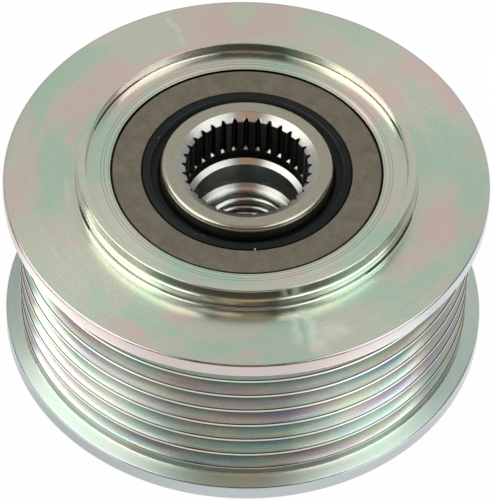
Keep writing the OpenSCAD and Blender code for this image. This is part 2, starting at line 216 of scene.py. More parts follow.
def makeZincPlate():
    material, tree = newMaterial("zincPlate")
    at = ringPlace(tree)
    finish = zincFinish
    rings = turningNoise(tree, at, 0.16, 1.7, 3.0, 0.55)
    greens = noise(tree, at["object"], finish["patchScale"], 3.0, 0.5, 0.9, w=1.3)
    pinks = noise(tree, at["object"], finish["patchScale"] * 1.15, 3.0, 0.5, 1.1, w=6.1)
    greens = calc(tree, "ADD", calc(tree, "MULTIPLY", greens, 0.65), calc(tree, "MULTIPLY", rings, 0.35))
    pinks = calc(tree, "SUBTRACT", calc(tree, "MULTIPLY", pinks, 0.70), calc(tree, "MULTIPLY", rings, 0.45))
    degrees = calc(tree, "MULTIPLY", at["angle"], 180.0 / math.pi)
    for fromAngle, toAngle, inner, outer, push in finish["pinkPlaces"]:
        pinks = calc(tree, "ADD", pinks, product(
            tree, band(tree, degrees, fromAngle, toAngle, 12.0), band(tree, at["radius"], inner, outer, 1.2), push))
    for fromAngle, toAngle, inner, outer, push in finish["greenPlaces"]:
        greens = calc(tree, "ADD", greens, product(
            tree, band(tree, degrees, fromAngle, toAngle, 12.0), band(tree, at["radius"], inner, outer, 1.2), push))
    colour = mixColour(tree, spread(tree, greens, 0.49, 0.57), finish["plain"], finish["green"])
    colour = mixColour(tree, spread(tree, pinks, 0.135, 0.225, 0.0, 0.85), colour, finish["pink"])

    rim = spread(tree, at["radius"], 37.3, 37.6)
    # painted reflection: the rim turns cool towards its east side
    rimColourAndPaintedTints = mixColour(tree, spread(tree, at["east"], 0.45, 0.85), finish["rim"], finish["rimEastPaintedReflection"])
    # painted shade: below 12 mm the rim turns to the darker low colour
    rimColourAndPaintedTints = mixColour(tree, spread(tree, at["height"], 12.0, 8.0), rimColourAndPaintedTints, finish["rimLow"])
    colour = mixColour(tree, rim, colour, rimColourAndPaintedTints)

    # thin film colours in the grooves: long streaks that change slowly round the axis
    groove = product(tree, spread(tree, at["radius"], 35.7, 35.5), spread(tree, at["radius"], 32.0, 32.2),
                     band(tree, at["height"], 3.45, 30.4, 0.05))
    film = turningNoise(tree, at, 0.85, 1.9, 3.0, 0.55)
    filmColour = ramp(tree, film, [
        (0.28, (0.30, 0.33, 0.62)), (0.36, (0.28, 0.50, 0.60)), (0.43, (0.40, 0.62, 0.50)),
        (0.49, (0.64, 0.64, 0.44)), (0.55, (0.60, 0.44, 0.43)), (0.62, (0.42, 0.34, 0.56)),
        (0.70, (0.38, 0.57, 0.54))])
    clouds = turningNoise(tree, at, 0.4, 2.6, 2.0, 0.5)
    filmShare = spread(tree, clouds, 0.36, 0.62, finish["filmShare"] * 0.35, finish["filmShare"])
    flankColour = mixColour(tree, filmShare, finish["flank"], filmColour)
    # painted shade: the groove flanks darken towards the root
    deepGroovePaintedShade = spread(tree, at["radius"], 33.4, 34.9, 0.66, 1.0)
    deepGrooveShadeColour = addNode(tree, "ShaderNodeCombineColor", {0: deepGroovePaintedShade, 1: deepGroovePaintedShade, 2: deepGroovePaintedShade}).outputs[0]
    flankColour = mixColour(tree, 1.0, flankColour, deepGrooveShadeColour, "MULTIPLY")
    crest = spread(tree, at["radius"], 35.22, 35.32)
    # painted shade: dark lines on the roundings either side of each crest
    crestEdgePaintedShade = band(tree, at["radius"], 35.27, 35.41, 0.03)
    flankColour = mixColour(tree, crest, flankColour, finish["crest"])
    flankColour = mixColour(tree, crestEdgePaintedShade, flankColour, finish["crestEdgePaintedShade"])
    colour = mixColour(tree, groove, colour, flankColour)

    collar = product(tree, spread(tree, at["radius"], 27.2, 26.9), spread(tree, at["rise"], 0.9, 0.7))
    colour = mixColour(tree, collar, colour, finish["wall"])

    shelf = product(tree, band(tree, at["height"], 2.6, 3.4, 0.06),
                    spread(tree, at["radius"], 35.5, 35.7), spread(tree, at["rise"], 0.8, 0.9))
    colour = mixColour(tree, calc(tree, "MULTIPLY", shelf, finish["shelfShare"]), colour, finish["shelf"])
    # painted shade: the low west side of the rear flange, below 5 mm, is darkened
    low = product(tree, spread(tree, at["height"], 5.0, 3.6), spread(tree, at["radius"], 35.5, 35.7),
                  spread(tree, at["east"], -0.15, -0.80))
    lowWestShadeTone = spread(tree, low, 0.0, 1.0, 1.0, finish["lowWestPaintedShade"])
    lowWestShadeColour = addNode(tree, "ShaderNodeCombineColor", {0: lowWestShadeTone, 1: lowWestShadeTone, 2: lowWestShadeTone}).outputs[0]
    colour = mixColour(tree, 1.0, colour, lowWestShadeColour, "MULTIPLY")

    # grease and wiping marks on the front face
    front = product(tree, band(tree, at["height"], 32.3, 32.95, 0.05), spread(tree, at["radius"], 26.9, 27.1))
    wisps = noise(tree, at["object"], 210.0, 2.0, 0.5, 0.8)
    bend = spread(tree, noise(tree, at["object"], 150.0, 2.0, 0.5), 0.3, 0.7, -2.2, 2.2)
    bentDegrees = calc(tree, "ADD", degrees, bend)
    bentRadius = calc(tree, "ADD", at["radius"], calc(tree, "MULTIPLY", bend, 0.10))
    smeared = None
    for angle, inner, outer, width, strength in finish["smears"]:
        share = product(tree, band(tree, bentDegrees, angle - width, angle + width, width * 0.6),
                        band(tree, bentRadius, inner, outer, min(0.9, (outer - inner) * 0.4)), strength)
        smeared = share if smeared is None else calc(tree, "MAXIMUM", smeared, share)
    smeared = product(tree, smeared, front, spread(tree, wisps, 0.32, 0.60, 0.35, 1.0))
    colour = mixColour(tree, smeared, colour, finish["smearColour"])

    # painted shade and dirt in the seam round the bearing ring, and painted dark lines at the fine steps beside it
    high = spread(tree, at["height"], 33.8, 34.0)
    seamAndStepShade = band(tree, at["radius"], 20.0, 21.20, 0.04)
    for radius in finish["stepShadeLines"]:
        stepShadeLine = calc(tree, "MULTIPLY", band(tree, at["radius"], radius - 0.05, radius + 0.05, 0.04), 0.45)
        seamAndStepShade = calc(tree, "MAXIMUM", seamAndStepShade, stepShadeLine)
    seamAndStepShade = calc(tree, "MULTIPLY", seamAndStepShade, high)
    colour = mixColour(tree, calc(tree, "MULTIPLY", seamAndStepShade, 0.95), colour, (0.02, 0.02, 0.018))

    streaks = turningNoise(tree, at, 5.0, 1.4, 3.0, 0.6)
    grain = noise(tree, at["object"], 4200.0, 2.0, 0.6)
    colour = toned(tree, colour, streaks, 0.98, 1.02)
    colour = toned(tree, colour, grain, 0.96, 1.04)
    rough = spread(tree, groove, 0.0, 1.0, finish["flatRough"], finish["flankRough"])
    crestShare = product(tree, groove, crest, finish["crestRough"] - finish["flankRough"])
    rough = calc(tree, "ADD", rough, crestShare)
    rough = calc(tree, "ADD", rough, calc(tree, "MULTIPLY", rim, finish["rimRough"] - finish["flatRough"]))
    rough = calc(tree, "ADD", rough, calc(tree, "MULTIPLY", shelf, finish["shelfRough"] - finish["flatRough"]))
    rough = calc(tree, "ADD", rough, calc(tree, "MULTIPLY", collar, finish["wallRough"] - finish["flatRough"]))
    rough = calc(tree, "ADD", rough, spread(tree, streaks, 0.3, 0.7, -0.015, 0.02))
    rough = calc(tree, "ADD", rough, calc(tree, "MULTIPLY", smeared, 0.12))
    metal = spread(tree, smeared, 0.0, 1.0, 1.0, 0.1)
    tangent = addNode(tree, "ShaderNodeTangent", direction_type="RADIAL", axis="Z").outputs[0]
    finishMaterial(tree, {
        "Base Color": colour, "Metallic": metal, "Roughness": rough,
        "Anisotropic": 0.80, "Anisotropic Rotation": 0.25},
        [(streaks, 0.0009 * mm, 0.25), (grain, 0.0010 * mm, 0.5)], tangent)
    return material


# Hub: the machined face, the bright cones and ledges, the walls of the spline painted near-black as shade, and the
# steel of the bores below
steelFinish = {
    "olive": (0.43, 0.435, 0.345), "warm": (0.455, 0.415, 0.335),
    # the wall colour is painted shade for the upright walls of the spline
    "cone": (0.45, 0.44, 0.405), "wall": (0.055, 0.058, 0.056), "bore": (0.52, 0.56, 0.52),
    "faceRough": 0.24, "coneRough": 0.27,
}


def makeHubSteel():
    material, tree = newMaterial("hubSteel")
    at = ringPlace(tree)
    finish = steelFinish
    clouds = noise(tree, at["object"], 95.0, 3.0, 0.55, 0.4)
    mottle = noise(tree, at["object"], 900.0, 3.0, 0.6)
    streaks = turningNoise(tree, at, 5.0, 1.2, 3.0, 0.6)
    colour = mixColour(tree, spread(tree, clouds, 0.40, 0.60), finish["olive"], finish["warm"])
    inside = spread(tree, at["radius"], 11.25, 11.15)
    cone = product(tree, inside, spread(tree, at["rise"], 0.32, 0.45), spread(tree, at["rise"], 0.985, 0.96))
    # painted shade: upright walls inside the hub are painted near-black, except the bores below the spline
    wall = product(tree, spread(tree, at["radius"], 12.9, 12.6), spread(tree, at["rise"], 0.46, 0.28))
    colour = mixColour(tree, cone, colour, finish["cone"])
    boreShare = spread(tree, at["radius"], 9.2, 8.9)
    colour = mixColour(tree, wall, colour, mixColour(tree, boreShare, finish["wall"], finish["bore"]))
    colour = toned(tree, colour, streaks, 0.96, 1.03)
    colour = toned(tree, colour, mottle, 0.94, 1.05)
    rough = spread(tree, cone, 0.0, 1.0, finish["faceRough"], finish["coneRough"])
    rough = calc(tree, "ADD", rough, spread(tree, clouds, 0.3, 0.7, -0.03, 0.03))
    tangent = addNode(tree, "ShaderNodeTangent", direction_type="RADIAL", axis="Z").outputs[0]
    finishMaterial(tree, {
        "Base Color": colour, "Metallic": 1.0, "Roughness": rough,
        "Anisotropic": 0.3, "Anisotropic Rotation": 0.25},
        [(streaks, 0.002 * mm, 0.35), (mottle, 0.003 * mm, 0.3)], tangent)
    return material


phosphateFinish = {"light": (0.170, 0.147, 0.104), "dark": (0.112, 0.096, 0.066), "roughness": 0.52}


def makePhosphate():
    material, tree = newMaterial("brownPhosphate")
    at = ringPlace(tree)
    clouds = noise(tree, at["object"], 420.0, 4.0, 0.7, 0.3)
    specks = noise(tree, at["object"], 3600.0, 2.0, 0.7)
    blend = calc(tree, "ADD", calc(tree, "MULTIPLY", clouds, 0.55), calc(tree, "MULTIPLY", specks, 0.45))
    colour = ramp(tree, blend, [(0.38, phosphateFinish["dark"]), (0.62, phosphateFinish["light"])])
    # painted shade and dirt in the seam at the ring's outer edge
    seamShade = product(tree, spread(tree, at["radius"], 20.78, 20.86))
    colour = mixColour(tree, seamShade, colour, (0.012, 0.011, 0.010))
    rough = spread(tree, specks, 0.3, 0.7, phosphateFinish["roughness"] - 0.07, phosphateFinish["roughness"] + 0.07)
    finishMaterial(tree, {"Base Color": colour, "Metallic": 0.45, "Roughness": rough},
                   [(specks, 0.008 * mm, 0.5)])
    return material


# Flecks of dust are (x, y, radius) in millimetres
rubberFinish = {
    # the edge colour is a painted highlight along the inner edge of the bead
    "dark": (0.0030, 0.0042, 0.0044), "light": (0.0060, 0.0080, 0.0086), "edge": (0.055, 0.060, 0.062),
    "roughness": 0.33,
    "flecks": [(1.6, -16.05, 0.19), (12.6, -7.7, 0.13), (-6.3, -13.7, 0.13), (5.3, 15.4, 0.10), (-13.9, 6.1, 0.09)],
    "fleckColour": (0.50, 0.50, 0.47),
}


def makeSealRubber():
    material, tree = newMaterial("sealRubber")
    at = ringPlace(tree)
    clouds = noise(tree, at["object"], 300.0, 3.0, 0.6)
    fine = noise(tree, at["object"], 2600.0, 2.0, 0.6)
    colour = ramp(tree, clouds, [(0.35, rubberFinish["dark"]), (0.7, rubberFinish["light"])])
    flat = addNode(tree, "ShaderNodeVectorMath", {0: at["object"], 1: (1.0, 1.0, 0.0)}, operation="MULTIPLY")
    flecks = None
    for x, y, size in rubberFinish["flecks"]:
        away = addNode(tree, "ShaderNodeVectorMath", {0: flat.outputs[0], 1: (x * mm, y * mm, 0.0)},
                       operation="DISTANCE").outputs["Value"]
        share = spread(tree, away, size * mm, size * 0.5 * mm)
        flecks = share if flecks is None else calc(tree, "MAXIMUM", flecks, share)
    lint = noise(tree, at["object"], 1500.0, 1.0, 0.4, w=2.2)
    flecks = calc(tree, "MAXIMUM", flecks, spread(tree, lint, 0.765, 0.80, 0.0, 0.35))
    colour = mixColour(tree, flecks, colour, rubberFinish["fleckColour"])
    # painted highlight: a lighter, glossier line along the inner edge of the bead
    edge = band(tree, at["radius"], 14.96, 15.08, 0.03)
    colour = mixColour(tree, edge, colour, rubberFinish["edge"])
    rough = spread(tree, fine, 0.3, 0.7, rubberFinish["roughness"] - 0.05, rubberFinish["roughness"] + 0.08)
    rough = calc(tree, "SUBTRACT", rough, calc(tree, "MULTIPLY", edge, 0.12))
    finishMaterial(tree, {"Base Color": colour, "Roughness": rough, "Specular IOR Level": 0.18},
                   [(fine, 0.004 * mm, 0.4)])
    return material


# Plain worn metals and plastics of the pieces inside
innerFinishes = {
    "bearingSteel": {"colour": (0.66, 0.67, 0.69), "metal": 1.0, "roughness": 0.12, "grain": 900.0},
    "groundSteel": {"colour": (0.47, 0.48, 0.49), "metal": 1.0, "roughness": 0.30, "grain": 1600.0},
    "springStrip": {"colour": (0.62, 0.59, 0.52), "metal": 1.0, "roughness": 0.28, "grain": 1200.0},
    "blackNylon": {"colour": (0.035, 0.035, 0.038), "metal": 0.0, "roughness": 0.45, "grain": 1400.0},
    "naturalNylon": {"colour": (0.70, 0.63, 0.46), "metal": 0.0, "roughness": 0.40, "grain": 1100.0},
}


def makeInner(name):
    finish = innerFinishes[name]
    material, tree = newMaterial(name)
    at = ringPlace(tree)
    grain = noise(tree, at["object"], finish["grain"], 3.0, 0.6)
    clouds = noise(tree, at["object"], 260.0, 2.0, 0.5)
    low = tuple(c * 0.86 for c in finish["colour"])
    colour = ramp(tree, calc(tree, "MULTIPLY", calc(tree, "ADD", grain, clouds), 0.5),
                  [(0.35, low), (0.62, finish["colour"])])
    rough = spread(tree, grain, 0.3, 0.7, finish["roughness"] * 0.8, finish["roughness"] * 1.25)
    finishMaterial(tree, {"Base Color": colour, "Metallic": finish["metal"], "Roughness": rough},
                   [(grain, 0.004 * mm, 0.3)])
    return material


zincPlate = makeZincPlate()
hubSteel = makeHubSteel()
brownPhosphate = makePhosphate()
sealRubber = makeSealRubber()
inner = {name: makeInner(name) for name in innerFinishes}
print("materials made")


# Rounds the corners of an outline. A corner is (radius, height, rounding). Beside each
# rounding goes a guard point, so that the shading of the flats stays flat.
def softOutline(corners, guard=0.05, turnStep=24.0):
    points = []
    count = len(corners)
    for i in range(count):
        here = Vector(corners[i][:2])
        before, after = Vector(corners[i - 1][:2]), Vector(corners[(i + 1) % count][:2])
        toBefore, toAfter = before - here, after - here
        lengths = (toBefore.length, toAfter.length)
        toBefore.normalize()
        toAfter.normalize()
        opening = toBefore.angle(toAfter)
        turn = math.pi - opening
        rounding = corners[i][2]
        if rounding <= 0 or turn < 0.02:
            points.append(here)
            continue
        reach = rounding / math.tan(opening / 2)
        limit = 0.46 * min(lengths)
        if reach > limit:
            rounding *= limit / reach
            reach = limit
        centre = here + (toBefore + toAfter).normalized() * rounding / math.sin(opening / 2)
        start, end = here + toBefore * reach, here + toAfter * reach
        if lengths[0] > 2 * reach + 3 * guard:
            points.append(start + toBefore * guard)
        steps = max(2, round(math.degrees(turn) / turnStep))
        a0, a1 = start - centre, end - centre
        sweep = a0.angle_signed(a1)
        for k in range(steps + 1):
            angle = -sweep * k / steps
            c, s = math.cos(angle), math.sin(angle)
            points.append(centre + Vector((a0.x * c - a0.y * s, a0.x * s + a0.y * c)))
        if lengths[1] > 2 * reach + 3 * guard:
            points.append(end + toAfter * guard)
    return points


def outlineMesh(name, points, extra=None):
    mesh = bpy.data.meshes.new(name)
    count = len(points)
    mesh.from_pydata([(p[0] * mm, 0, p[1] * mm) for p in points],
                     [(i, (i + 1) % count) for i in range(count)], [])
    for key, values in (extra or {}).items():
        attribute = mesh.attributes.new(key, "FLOAT", "POINT")
        attribute.data.foreach_set("value", values)
    return mesh


def newTree(name, sockets):
    tree = bpy.data.node_groups.new(name, "GeometryNodeTree")
    tree.interface.new_socket("Geometry", in_out="OUTPUT", socket_type="NodeSocketGeometry")
    tree.interface.new_socket("Outline", in_out="INPUT", socket_type="NodeSocketGeometry")
    for title, kind, value in sockets:
        socket = tree.interface.new_socket(title, in_out="INPUT", socket_type=kind)
        if value is not None:
            socket.default_value = value
    start = tree.nodes.new("NodeGroupInput")
    return tree, start


def closeTree(tree, geometry, material, mergeGap=0.0008 * mm):
    merged = addNode(tree, "GeometryNodeMergeByDistance", {"Geometry": geometry, "Distance": mergeGap})
    smooth = addNode(tree, "GeometryNodeSetShadeSmooth", {"Geometry": merged.outputs[0]})
    real = addNode(tree, "GeometryNodeRealizeInstances", {"Geometry": smooth.outputs[0]})
    painted = addNode(tree, "GeometryNodeSetMaterial", {"Geometry": real.outputs[0], "Material": material})
    end = tree.nodes.new("NodeGroupOutput")
    tree.links.new(painted.outputs[0], end.inputs[0])


# The rows and columns of a grid, bent round the axis: row gives the outline's point,
# column the angle
def gridRound(tree, start, columns):
    size = addNode(tree, "GeometryNodeAttributeDomainSize", {"Geometry": start.outputs["Outline"]})
    rows = calc(tree, "ADD", size.outputs["Point Count"], 1.0)
    grid = addNode(tree, "GeometryNodeMeshGrid", {
        "Size X": 1.0, "Size Y": 1.0, "Vertices X": calc(tree, "ADD", columns, 1.0), "Vertices Y": rows})
    index = addNode(tree, "GeometryNodeInputIndex").outputs[0]
    row = calc(tree, "MODULO", index, rows)
    column = calc(tree, "FLOOR", calc(tree, "DIVIDE", calc(tree, "ADD", index, 0.5), rows))
    pick = calc(tree, "MODULO", row, size.outputs["Point Count"])
    return grid.outputs["Mesh"], pick, column


def sampleOutline(tree, start, pick, field, kind):
    made = addNode(tree, "GeometryNodeSampleIndex", data_type=kind, domain="POINT")
    tree.links.new(start.outputs["Outline"], made.inputs["Geometry"])
    tree.links.new(field, made.inputs["Value"])
    tree.links.new(pick, made.inputs["Index"])
    return made.outputs["Value"]


def turnedTree():
    tree, start = newTree("turnedRing", [
        ("Segments", "NodeSocketInt", 288), ("Material", "NodeSocketMaterial", None)])
    grid, pick, column = gridRound(tree, start, start.outputs["Segments"])
    position = addNode(tree, "GeometryNodeInputPosition").outputs[0]
    place = sampleOutline(tree, start, pick, position, "FLOAT_VECTOR")
    parts = addNode(tree, "ShaderNodeSeparateXYZ", {"Vector": place})
    angle = calc(tree, "MULTIPLY", calc(tree, "DIVIDE", column, start.outputs["Segments"]), 2 * math.pi)
    spot = addNode(tree, "ShaderNodeCombineXYZ", {
        "X": calc(tree, "MULTIPLY", parts.outputs["X"], calc(tree, "COSINE", angle)),
        "Y": calc(tree, "MULTIPLY", parts.outputs["X"], calc(tree, "SINE", angle)),
        "Z": parts.outputs["Z"]}).outputs[0]
    bent = addNode(tree, "GeometryNodeSetPosition", {"Geometry": grid, "Position": spot})
    closeTree(tree, bent.outputs[0], start.outputs["Material"])
    return tree


turnedRing = turnedTree()


# Runs a tree on an outline and keeps the plain mesh, with its faces pointing outwards
def growPiece(name, mesh, tree, values, body, nodes):
    seed = bpy.data.objects.new(name + "Outline", mesh)
    bpy.context.scene.collection.objects.link(seed)
    modifier = seed.modifiers.new("grow", "NODES")
    modifier.node_group = tree
    for item in tree.interface.items_tree:
        if item.item_type == "SOCKET" and item.in_out == "INPUT" and item.name in values:
            modifier[item.identifier] = values[item.name]
    seed.update_tag()
    graph = bpy.context.evaluated_depsgraph_get()
    made = bpy.data.meshes.new_from_object(seed.evaluated_get(graph), depsgraph=graph)
    bpy.data.objects.remove(seed)
    made.name = name
    work = bmesh.new()
    work.from_mesh(made)
    bmesh.ops.recalc_face_normals(work, faces=work.faces)
    volume = work.calc_volume(signed=True)
    if volume < 0:
        bmesh.ops.reverse_faces(work, faces=work.faces)
    loose = sum(1 for e in work.edges if len(e.link_faces) != 2)
    work.to_mesh(made)
    work.free()
    piece = bpy.data.objects.new(name, made)
    bpy.context.scene.collection.objects.link(piece)
    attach(piece, body)
    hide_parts(*nodes)
    print(f"{name}: {len(made.polygons)} faces, {loose} open edges, {abs(volume) * 1e9:.0f} mm3")
    return piece


pulleySizes = {
    "flangeRadius": 37.8, "ribRadius": 35.45, "grooveDepth": 2.85, "ribPitch": 3.56,
    "grooves": 7, "grooveAngle": 40.0, "crestWidth": 0.50, "crestRound": 0.22, "rootRound": 0.40,
    "firstGroove": 27.68, "faceHeight": 32.5, "rearShelf": 3.3, "shelfFall": 0.52, "flangeRound": 0.32,
    "collarRadius": 26.55, "lipRadius": 26.35, "lipLean": 0.10, "snapRadius": 25.90, "collarTop": 36.25,
    "recessRadius": 24.95, "recessFloor": 34.5, "floorInner": 22.15, "boreRadius": 21.0,
    "rearRim": 30.0, "rearRelief": 1.0, "segments": 288,
}


def pulleyCorners():
    s = pulleySizes
    slope = math.tan(math.radians(s["grooveAngle"] / 2))
    crestHalf = (s["ribPitch"] - s["crestWidth"]) / 2
    rootRadius = s["ribRadius"] - s["grooveDepth"]
    rootHalf = crestHalf - s["grooveDepth"] * slope
    top, floor = s["collarTop"], s["recessFloor"]
    rimLow = s["firstGroove"] + crestHalf + (s["flangeRadius"] - s["ribRadius"]) * slope
    corners = [
        (s["rearRim"], 0.0, 0.25),
        (s["rearRim"] - s["rearRelief"], s["rearRelief"], 0.2),
        (s["boreRadius"] + 0.22, s["rearRelief"], 0.03),
        (s["boreRadius"], s["rearRelief"] + 0.22, 0.03),
        (s["boreRadius"], floor - 0.34, 0.03),
        (s["boreRadius"] + 0.22, floor - 0.12, 0.03),
        (s["boreRadius"] + 0.46, floor - 0.12, 0.03),
        (s["floorInner"], floor, 0.05),
        (s["recessRadius"] - 0.05, floor, 0.30),
        (s["recessRadius"], top, 0.11),
        (s["lipRadius"] - s["lipLean"], top, 0.20),
        (s["lipRadius"] + s["lipLean"], top - 1.52, 0.08),
        (s["snapRadius"], top - 1.60, 0.05),
        (s["snapRadius"], top - 1.78, 0.05),
        (s["collarRadius"], top - 2.10, 0.10),
        (s["collarRadius"], s["faceHeight"], 0.36),
        (s["flangeRadius"], s["faceHeight"], s["flangeRound"]),
        (s["flangeRadius"], rimLow, s["flangeRound"]),
    ]
    for k in range(s["grooves"]):
        z = s["firstGroove"] - k * s["ribPitch"]
        if k > 0:
            corners.append((s["ribRadius"], z + crestHalf, s["crestRound"]))
        corners.append((rootRadius, z + rootHalf, s["rootRound"]))
        corners.append((rootRadius, z - rootHalf, s["rootRound"]))
        corners.append((s["ribRadius"], z - crestHalf, s["crestRound"]))
    corners += [
        (s["ribRadius"], s["rearShelf"], 0.18),
        (s["flangeRadius"], s["rearShelf"] - s["shelfFall"], s["flangeRound"]),
        (s["flangeRadius"], 0.0, s["flangeRound"]),
    ]
    return corners


pulleyPoints = softOutline(pulleyCorners(), turnStep=20.0)
pulley = growPiece("pulleyTurned", outlineMesh("pulleyOutline", pulleyPoints), turnedRing,
                   {"Segments": pulleySizes["segments"], "Material": zincPlate}, "rim", ["pulley"])

ringSizes = {
    "outer": 20.99, "seat": 16.4, "shoulder": 16.3, "width": 10.1, "seatDepth": 2.3,
    "edge": 0.22, "ballInset": 5.9, "ballRadius": 2.381, "pitchRadius": 14.851,
    "frontFace": 34.3, "rearFace": 2.0,
}


def ringCorners():
    s = ringSizes
    raceRadius = s["ballRadius"] * 1.04
    centre = s["pitchRadius"] + s["ballRadius"] + 0.02 - raceRadius
    shoulder = s["pitchRadius"] + s["ballRadius"] + 0.02 - 0.95
    half = math.sqrt(raceRadius ** 2 - (shoulder - centre) ** 2)
    sweep = math.atan2(half, shoulder - centre)
    race = []
    for k in range(13):
        a = sweep * (1 - 2 * k / 12)
        race.append((centre + raceRadius * math.cos(a), -s["ballInset"] + raceRadius * math.sin(a), 0.0))
    return [
        (s["outer"], -s["edge"], 0.03),
        (s["outer"] - s["edge"], 0.0, 0.03),
        (s["seat"], 0.0, 0.10),
        (s["seat"], -s["seatDepth"], 0.1),
        (shoulder, -s["seatDepth"], 0.1)] + race + [
        (shoulder, -s["width"], 0.2),
        (s["outer"] - s["edge"], -s["width"], 0.03),
        (s["outer"], s["edge"] - s["width"], 0.03)]


sealSizes = {"outer": 16.38, "bead": 15.04, "proud": 0.12, "lip": 13.45, "depth": 2.3}


def sealCorners():
    s = sealSizes
    return [
        (s["outer"], -0.34, 0.03),
        (s["outer"] - 0.16, -0.34, 0.03),
        (s["outer"] - 0.26, -0.04, 0.05),
        (s["bead"] + 0.50, s["proud"] - 0.05, 0.10),
        (s["bead"] + 0.14, s["proud"], 0.05),
        (s["bead"], s["proud"] - 0.06, 0.05),
        (s["bead"] - 0.10, -0.95, 0.10),
        (s["lip"] + 0.42, -1.02, 0.10),
        (s["lip"], -1.28, 0.05),
        (s["lip"], -1.45, 0.05),
        (s["lip"] + 0.5, -1.70, 0.12),
        (s["bead"] - 0.2, -1.55, 0.12),
        (s["bead"] + 0.1, -s["depth"], 0.10),
        (s["outer"], -s["depth"], 0.08),
    ]


def placed(points, face, up):
    return [(p[0], face + p[1] * up) for p in points]


for side, face, up in (("front", ringSizes["frontFace"], 1), ("rear", ringSizes["rearFace"], -1)):
    ringPoints = placed(softOutline(ringCorners()), face, up)
    growPiece(side + "RingTurned", outlineMesh(side + "Ring", ringPoints), turnedRing,
              {"Segments": 256, "Material": brownPhosphate}, "rim", [side + "_bearing_ring"])
    sealPoints = placed(softOutline(sealCorners(), guard=0.03), face, up)
    growPiece(side + "SealMoulded", outlineMesh(side + "Seal", sealPoints), turnedRing,
              {"Segments": 256, "Material": sealRubber}, "rim", [side + "_seal"])

hubSizes = {
    "radius": 13.4, "rear": 0.5, "front": 35.75, "edgeRound": 0.85, "mouth": 11.0, "mouthSlope": 30.0,
    "toothRadius": 9.5, "spaceDepth": 0.62, "spaces": 33, "mouthShare": 0.235, "bottomShare": 0.055,
    "spaceTurn": 1.7, "splineEnd": 28.35, "spaceRise": 0.38, "coneHeight": 26.55,
    "middleRadius": 8.55, "ledge": 21.35, "ledgeRadius": 7.95, "ledgeFall": 0.5, "threadMajor": 7.0, "threadMinor": 6.188,
    "threadPitch": 1.5, "threadRows": 14, "pilotTop": 9.0, "pilotRadius": 8.5, "rearChamfer": 0.5,
}

# One tooth space and tooth: share of the pitch, and how far out the wall stands there
toothForm = [(-0.5, 0.0), (-0.36, 0.0), (-0.275, 0.0), (-0.235, 0.04), (-0.12, 0.62), (-0.055, 0.93),
             (0.0, 1.0), (0.055, 0.93), (0.12, 0.62), (0.235, 0.04), (0.275, 0.0), (0.36, 0.0)]


